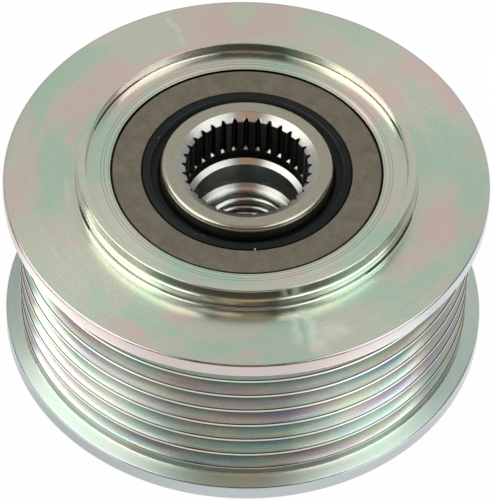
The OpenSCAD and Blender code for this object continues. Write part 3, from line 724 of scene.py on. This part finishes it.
def hubRows():
    s = hubSizes
    slope = math.tan(math.radians(s["mouthSlope"]))
    depth = s["spaceDepth"]
    raceRadius = ringSizes["ballRadius"] * 1.04
    raceCentre = ringSizes["pitchRadius"] - ringSizes["ballRadius"] - 0.02 + raceRadius
    half = math.sqrt(raceRadius ** 2 - (raceCentre - s["radius"]) ** 2)
    sweep = math.atan2(half, raceCentre - s["radius"])

    def race(z):
        turns = [sweep * (2 * k / 10 - 1) for k in range(11)]
        return [(raceCentre - raceRadius * math.cos(a), z + raceRadius * math.sin(a), 0.0) for a in turns]

    tipHeight = s["front"] - (s["mouth"] - s["toothRadius"]) * slope
    bottomRadius = s["toothRadius"] + depth
    coneLow = s["coneHeight"] - (s["toothRadius"] - s["middleRadius"]) * slope
    rimCone = (s["middleRadius"] - s["ledgeRadius"]) * 0.7
    threadTop = s["ledge"] - s["ledgeFall"]
    outside = softOutline([
        (s["pilotRadius"] + s["rearChamfer"], s["rear"], 0.1),
        (s["radius"] - s["rearChamfer"], s["rear"], 0.1),
        (s["radius"], s["rear"] + s["rearChamfer"], 0.1)]
        + race(ringSizes["rearFace"] + ringSizes["ballInset"])
        + race(ringSizes["frontFace"] - ringSizes["ballInset"])
        + [(s["radius"], s["front"], s["edgeRound"]),
           (s["mouth"], s["front"], 0.28),
           (bottomRadius + 0.10, s["front"] - (s["mouth"] - bottomRadius - 0.10) * slope, 0.0),
           (s["pilotRadius"], s["rear"] + s["rearChamfer"], 0.1)], turnStep=12.0)
    cut = max(range(len(outside)), key=lambda i: (abs(outside[i][0] - bottomRadius - 0.10) < 1e-6, i))
    tail = outside[cut + 1:]
    rows = [(p[0], p[1], 0.0, 0.0, 0.0) for p in outside[:cut + 1]]

    # rows that carry the spline: radius, height, outward and upward share of the space
    edge = 0.07
    rows += [
        (s["toothRadius"] + edge, tipHeight + edge * slope, 1.0, slope, 0.0),
        (s["toothRadius"] + edge * 0.4, tipHeight + edge * 0.1, 1.0, slope, 0.0),
        (s["toothRadius"], tipHeight - edge * 0.6, 1.0, slope, 0.0),
        (s["toothRadius"], tipHeight - edge * 2.0, 1.0, slope, 0.0)]
    for k in range(1, 5):
        share = k / 5
        rows.append((s["toothRadius"], tipHeight - 0.3 + (s["splineEnd"] + 0.9 - tipHeight) * share, 1.0, 0.0, 0.0))
    rise = s["spaceRise"] / depth
    rows += [
        (s["toothRadius"], s["splineEnd"] + 0.12, 1.0, rise, 0.0),
        (s["toothRadius"], s["splineEnd"] + 0.02, 1.0, rise, 0.0)]
    for share, drop in ((0.97, 0.0), (0.90, 0.004), (0.14, 0.012), (0.05, 0.02)):
        rows.append((s["toothRadius"], s["splineEnd"] - drop, share, rise * share, 0.0))
    rows.append((s["toothRadius"] + 0.03, s["splineEnd"] - 0.05, 0.0, 0.0, 0.0))

    # plain bores below, as an open run of rounded corners
    bores = softOutline([
        (s["toothRadius"] + 0.05, s["splineEnd"] - 0.12, 0.0),
        (s["toothRadius"] + 0.05, s["coneHeight"], 0.1),
        (s["middleRadius"], coneLow, 0.08),
        (s["middleRadius"], s["ledge"] + rimCone, 0.06),
        (s["ledgeRadius"], s["ledge"], 0.05),
        (s["threadMajor"], threadTop, 0.0),
        (s["pilotRadius"] + 4.0, threadTop, 0.0)])
    last = max(i for i, p in enumerate(bores) if abs(p[0] - s["threadMajor"]) < 1e-6)
    rows += [(p[0], p[1], 0.0, 0.0, 0.0) for p in bores[:last]]

    # thread: evenly spaced rows between the two cones
    count = round((threadTop - s["pilotTop"]) / s["threadPitch"] * s["threadRows"])
    for k in range(count + 1):
        z = threadTop + (s["pilotTop"] - threadTop) * k / count
        upper = s["threadMajor"] - (threadTop - z) / math.tan(math.radians(60))
        lower = s["threadMajor"] - (z - s["pilotTop"])
        rows.append((max(s["threadMinor"], upper, lower), z, 0.0, 0.0, 1.0))
    rows += [(s["pilotRadius"] - 0.25, s["pilotTop"], 0.0, 0.0, 0.0), (s["pilotRadius"] - 0.08, s["pilotTop"] - 0.02, 0.0, 0.0, 0.0),
             (s["pilotRadius"], s["pilotTop"] - 0.12, 0.0, 0.0, 0.0), (s["pilotRadius"], s["pilotTop"] - 0.3, 0.0, 0.0, 0.0)]
    rows += [(p[0], p[1], 0.0, 0.0, 0.0) for p in tail]
    return rows


def hubTree():
    tree, start = newTree("splinedHub", [
        ("Tooth Form", "NodeSocketGeometry", None), ("Spaces", "NodeSocketInt", 33),
        ("Columns Per Space", "NodeSocketInt", 12), ("Space Depth", "NodeSocketFloat", 0.62 * mm),
        ("Space Turn", "NodeSocketFloat", 0.0), ("Thread Pitch", "NodeSocketFloat", 1.5 * mm),
        ("Thread Minor", "NodeSocketFloat", 6.188 * mm), ("Thread Depth", "NodeSocketFloat", 0.812 * mm),
        ("Material", "NodeSocketMaterial", None)])
    give = start.outputs
    columns = calc(tree, "MULTIPLY", give["Spaces"], give["Columns Per Space"])
    grid, pick, column = gridRound(tree, start, columns)
    position = addNode(tree, "GeometryNodeInputPosition").outputs[0]
    place = sampleOutline(tree, start, pick, position, "FLOAT_VECTOR")
    shares = {}
    for key in ("outward", "upward", "threaded"):
        field = addNode(tree, "GeometryNodeInputNamedAttribute", {"Name": key}, data_type="FLOAT").outputs[0]
        shares[key] = sampleOutline(tree, start, pick, field, "FLOAT")
    formPick = calc(tree, "MODULO", column, give["Columns Per Space"])
    form = addNode(tree, "GeometryNodeSampleIndex", data_type="FLOAT_VECTOR", domain="POINT")
    tree.links.new(give["Tooth Form"], form.inputs["Geometry"])
    tree.links.new(position, form.inputs["Value"])
    tree.links.new(formPick, form.inputs["Index"])
    formParts = addNode(tree, "ShaderNodeSeparateXYZ", {"Vector": form.outputs["Value"]})
    space = calc(tree, "FLOOR", calc(tree, "DIVIDE", calc(tree, "ADD", column, 0.5), give["Columns Per Space"]))
    turns = calc(tree, "DIVIDE", calc(tree, "ADD", space, formParts.outputs["X"]), give["Spaces"])
    angle = calc(tree, "ADD", calc(tree, "MULTIPLY", turns, 2 * math.pi), give["Space Turn"])
    parts = addNode(tree, "ShaderNodeSeparateXYZ", {"Vector": place})
    push = calc(tree, "MULTIPLY", formParts.outputs["Y"], give["Space Depth"])
    height = calc(tree, "ADD", parts.outputs["Z"], calc(tree, "MULTIPLY", push, shares["upward"]))
    radius = calc(tree, "ADD", parts.outputs["X"], calc(tree, "MULTIPLY", push, shares["outward"]))
    # right-hand thread: the groove climbs one pitch a turn
    phase = calc(tree, "FRACT", calc(tree, "SUBTRACT", calc(tree, "DIVIDE", height, give["Thread Pitch"]), turns))
    side = calc(tree, "MULTIPLY", calc(tree, "ABSOLUTE", calc(tree, "SUBTRACT", phase, 0.5)), 2.0)
    cut = calc(tree, "DIVIDE", calc(tree, "SUBTRACT", 0.75, side), 0.625, clamp=True)
    threadRadius = calc(tree, "ADD", give["Thread Minor"], calc(tree, "MULTIPLY", cut, give["Thread Depth"]))
    threadRadius = calc(tree, "MULTIPLY", threadRadius, shares["threaded"])
    radius = calc(tree, "MAXIMUM", radius, threadRadius)
    spot = addNode(tree, "ShaderNodeCombineXYZ", {
        "X": calc(tree, "MULTIPLY", radius, calc(tree, "SINE", angle)),
        "Y": calc(tree, "MULTIPLY", radius, calc(tree, "COSINE", angle)),
        "Z": height}).outputs[0]
    bent = addNode(tree, "GeometryNodeSetPosition", {"Geometry": grid, "Position": spot})
    closeTree(tree, bent.outputs[0], give["Material"])
    return tree


# the tooth form goes in as a second outline through an Object Info node
def makeHub():
    rows = hubRows()
    mesh = outlineMesh("hubOutline", rows, {
        "outward": [r[2] for r in rows], "upward": [r[3] for r in rows], "threaded": [r[4] for r in rows]})
    formMesh = bpy.data.meshes.new("toothForm")
    formMesh.from_pydata([(a, b, 0) for a, b in toothForm], [], [])
    formObject = bpy.data.objects.new("toothForm", formMesh)
    bpy.context.scene.collection.objects.link(formObject)
    tree = hubTree()
    start = next(n for n in tree.nodes if n.bl_idname == "NodeGroupInput")
    info = addNode(tree, "GeometryNodeObjectInfo", {"Object": formObject})
    for link in list(tree.links):
        if link.from_socket == start.outputs["Tooth Form"]:
            tree.links.new(info.outputs["Geometry"], link.to_socket)
    s = hubSizes
    piece = growPiece("hubSplined", mesh, tree, {
        "Spaces": s["spaces"], "Columns Per Space": len(toothForm), "Space Depth": s["spaceDepth"] * mm,
        "Space Turn": -math.radians(s["spaceTurn"]), "Thread Pitch": s["threadPitch"] * mm,
        "Thread Minor": s["threadMinor"] * mm, "Thread Depth": (s["threadMajor"] - s["threadMinor"]) * mm,
        "Material": hubSteel}, "hub_shaft", ["hub"])
    bpy.data.objects.remove(formObject)
    return piece


hub = makeHub()

innerLooks = {
    "clutch_ring": "groundSteel", "clutch_cage": "blackNylon", "clutch_roller": "bearingSteel",
    "clutch_spring": "springStrip", "front_ball_cage": "naturalNylon", "rear_ball_cage": "naturalNylon",
    "front_ball": "bearingSteel", "rear_ball": "bearingSteel",
}
for name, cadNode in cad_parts.items():
    stem = name.rstrip("0123456789").rstrip("_")
    if stem in innerLooks:
        cadNode.data.materials.clear()
        cadNode.data.materials.append(inner[innerLooks[stem]])
print("inner pieces dressed")

# Lamps and cards stand as in the photograph: a softbox on each side above, darkness over the
# middle and round the front, a grey wall behind. Places are metres from the foot of the axis.
studio = {
    "floorWhite": 0.90, "floorGlow": 0.97, "shadeInner": 31.0, "shadeOuter": 37.5,
    "worldSoft": 0.60,
    "leftBox": {"at": (-0.53, 0.03, 0.80), "size": (0.60, 0.84), "radiance": 1.9, "colour": (1.0, 1.0, 0.99)},
    "rightBox": {"at": (0.46, -0.08, 0.80), "size": (0.52, 0.60), "radiance": 1.7, "colour": (0.92, 0.985, 1.0)},
    "leftFace": (2.7, 2.7, 2.62), "rightFace": (2.2, 2.36, 2.34),
    "dark": (0.05, 0.05, 0.055), "grey": (0.62, 0.62, 0.61), "warm": (1.45, 0.80, 0.42),
    "leftLow": (2.2, 2.2, 2.15), "rightLow": (1.9, 2.1, 2.15),
    "pools": [("leftPool", -84.0, -36.0, 3.0), ("rightPool", 27.0, 60.0, 3.0)], "poolRadii": (43.0, 56.0),
    "strip": (1.30, 1.24, 1.15),
}


def cameraOrSheen(tree):
    path = addNode(tree, "ShaderNodeLightPath")
    seen = calc(tree, "MAXIMUM", path.outputs["Is Camera Ray"], path.outputs["Is Glossy Ray"])
    return calc(tree, "MAXIMUM", seen, path.outputs["Is Transmission Ray"])


def makeWorld():
    world = bpy.data.worlds.new("studioWorld")
    bpy.context.scene.world = world
    world.use_nodes = True
    tree = world.node_tree
    tree.nodes.clear()
    seen = cameraOrSheen(tree)
    strength = spread(tree, seen, 0.0, 1.0, studio["worldSoft"], 1.0)
    background = addNode(tree, "ShaderNodeBackground", {"Color": (1, 1, 1, 1), "Strength": strength})
    out = addNode(tree, "ShaderNodeOutputWorld")
    tree.links.new(background.outputs[0], out.inputs["Surface"])


# The floor glows white for the eye and in reflections, but not under the part
def floorMaterial():
    material, tree = newMaterial("paleFloor")
    white = studio["floorWhite"]
    plain = addNode(tree, "ShaderNodeBsdfDiffuse", {"Color": (white, white, white, 1)})
    glow = addNode(tree, "ShaderNodeEmission", {"Color": (1, 1, 1, 1), "Strength": 1.0})
    at = ringPlace(tree)
    uncovered = spread(tree, at["radius"], studio["shadeInner"], studio["shadeOuter"])
    share = product(tree, cameraOrSheen(tree), uncovered, studio["floorGlow"])
    mixed = addNode(tree, "ShaderNodeMixShader", {0: share, 1: plain.outputs[0], 2: glow.outputs[0]})
    out = addNode(tree, "ShaderNodeOutputMaterial")
    tree.links.new(mixed.outputs[0], out.inputs["Surface"])
    return material


def cardMaterial(name, colour):
    material, tree = newMaterial(name)
    light = addNode(tree, "ShaderNodeEmission", {"Color": (*colour, 1), "Strength": 1.0})
    out = addNode(tree, "ShaderNodeOutputMaterial")
    tree.links.new(light.outputs[0], out.inputs["Surface"])
    return material


def stageMesh(name, points, faces, material):
    mesh = bpy.data.meshes.new(name)
    mesh.from_pydata(points, [], faces)
    mesh.materials.append(material)
    made = bpy.data.objects.new(name, mesh)
    bpy.context.scene.collection.objects.link(made)
    return made


# A card is seen in reflections only
def card(name, points, faces, colour):
    made = stageMesh(name, points, faces, cardMaterial(name, colour))
    made.visible_camera = False
    made.visible_diffuse = False
    made.visible_shadow = False
    return made


def levelCard(name, low, high, z, colour):
    points = [(low[0], low[1], z), (high[0], low[1], z), (high[0], high[1], z), (low[0], high[1], z)]
    return card(name, points, [(0, 1, 2, 3)], colour)


# The shining face of a softbox, as metal mirrors it
def faceCard(name, spec, colour):
    x, y, z = spec["at"]
    half, halfAcross = spec["size"][0] / 2, spec["size"][1] / 2
    return levelCard(name, (x - half, y - halfAcross), (x + half, y + halfAcross), z - 0.01, colour)


# A card bent round the axis, upright or lying; angles count from the front
def roundCard(name, inner, outer, low, high, fromAngle, toAngle, colour):
    points, steps = [], 24
    for k in range(steps + 1):
        angle = math.radians(fromAngle + (toAngle - fromAngle) * k / steps)
        for radius, z in ((inner, low), (outer, high)):
            points.append((radius * math.sin(angle), -radius * math.cos(angle), z))
    return card(name, points, [(2 * k, 2 * k + 2, 2 * k + 3, 2 * k + 1) for k in range(steps)], colour)


# Light pooled low beside the part. It fades into the white of the floor at its edges.
def poolCard(name, fromAngle, toAngle, strength):
    inner, outer = studio["poolRadii"]
    made = roundCard(name, (inner - 5) * mm, (outer + 5) * mm, mm, mm, fromAngle - 12, toAngle + 12, (1, 1, 1))
    tree = made.data.materials[0].node_tree
    at = ringPlace(tree)
    degrees = calc(tree, "MULTIPLY", at["angle"], 180.0 / math.pi)
    share = product(tree, band(tree, degrees, fromAngle, toAngle, 11.0), band(tree, at["radius"], inner, outer, 4.0))
    light = next(node for node in tree.nodes if node.bl_idname == "ShaderNodeEmission")
    tree.links.new(spread(tree, share, 0.0, 1.0, 1.0, strength), light.inputs["Strength"])


def areaLamp(name, spec):
    lamp = bpy.data.lights.new(name, "AREA")
    lamp.shape = "RECTANGLE"
    lamp.size, lamp.size_y = spec["size"]
    lamp.energy = spec["radiance"] * math.pi * spec["size"][0] * spec["size"][1]
    lamp.color = spec["colour"]
    made = bpy.data.objects.new(name, lamp)
    bpy.context.scene.collection.objects.link(made)
    made.location = spec["at"]
    return made


makeWorld()
stageMesh("floor", [(-4, -4, 0), (4, -4, 0), (4, 4, 0), (-4, 4, 0)], [(0, 1, 2, 3)], floorMaterial())
areaLamp("leftSoftbox", studio["leftBox"])
areaLamp("rightSoftbox", studio["rightBox"])
faceCard("leftFace", studio["leftBox"], studio["leftFace"])
faceCard("rightFace", studio["rightBox"], studio["rightFace"])
levelCard("overheadCard", (-0.20, -0.52), (0.17, 0.20), 0.83, studio["dark"])
levelCard("frontSkyCard", (-1.2, -1.3), (1.2, -0.40), 0.90, studio["dark"])
levelCard("warmCard", (-0.12, -0.33), (0.12, -0.19), 0.78, studio["warm"])
levelCard("backSkyCard", (-1.3, 0.25), (1.3, 1.35), 1.10, studio["grey"])
roundCard("frontWall", 1.10, 1.10, 0.0, 0.90, -115, 115, studio["dark"])
roundCard("frontStrip", 0.95, 0.95, 0.22, 0.31, -65, 65, studio["strip"])
roundCard("leftLowCard", 1.04, 1.04, 0.0, 0.27, -100, -46, studio["leftLow"])
roundCard("rightLowCard", 1.04, 1.04, 0.0, 0.27, 42, 72, studio["rightLow"])
for pool in studio["pools"]:
    poolCard(*pool)
roundCard("backWall", 1.20, 1.20, 0.0, 1.10, 105, 255, studio["grey"])
print("studio set")

photoCamera = {
    "distance": 738.0, "elevation": 49.31, "roll": 1.74, "focalPixels": 4760.0,
    "aside": -0.31, "raise": 11.16, "targetHeight": 32.45,
}


def makeCamera():
    c = photoCamera
    e, r = math.radians(c["elevation"]), math.radians(c["roll"])
    ahead = Vector((0, math.cos(e), -math.sin(e)))
    up = Vector((0, math.sin(e), math.cos(e)))
    right = Vector((1, 0, 0))
    spot = Vector((0, 0, c["targetHeight"])) - ahead * c["distance"] - right * c["aside"] - up * c["raise"]
    across = right * math.cos(r) + up * math.sin(r)
    upright = up * math.cos(r) - right * math.sin(r)
    camera = bpy.data.cameras.new("photoCamera")
    camera.sensor_width = 36.0
    camera.lens = c["focalPixels"] * 36.0 / 500.0
    camera.clip_start, camera.clip_end = 0.05, 20.0
    made = bpy.data.objects.new("photoCamera", camera)
    bpy.context.scene.collection.objects.link(made)
    turn = Matrix((across, upright, -ahead)).transposed().to_4x4()
    made.matrix_world = Matrix.Translation(spot * mm) @ turn
    bpy.context.scene.camera = made


makeCamera()
bpy.context.scene.view_settings.view_transform = "Standard"

print("scene ready")
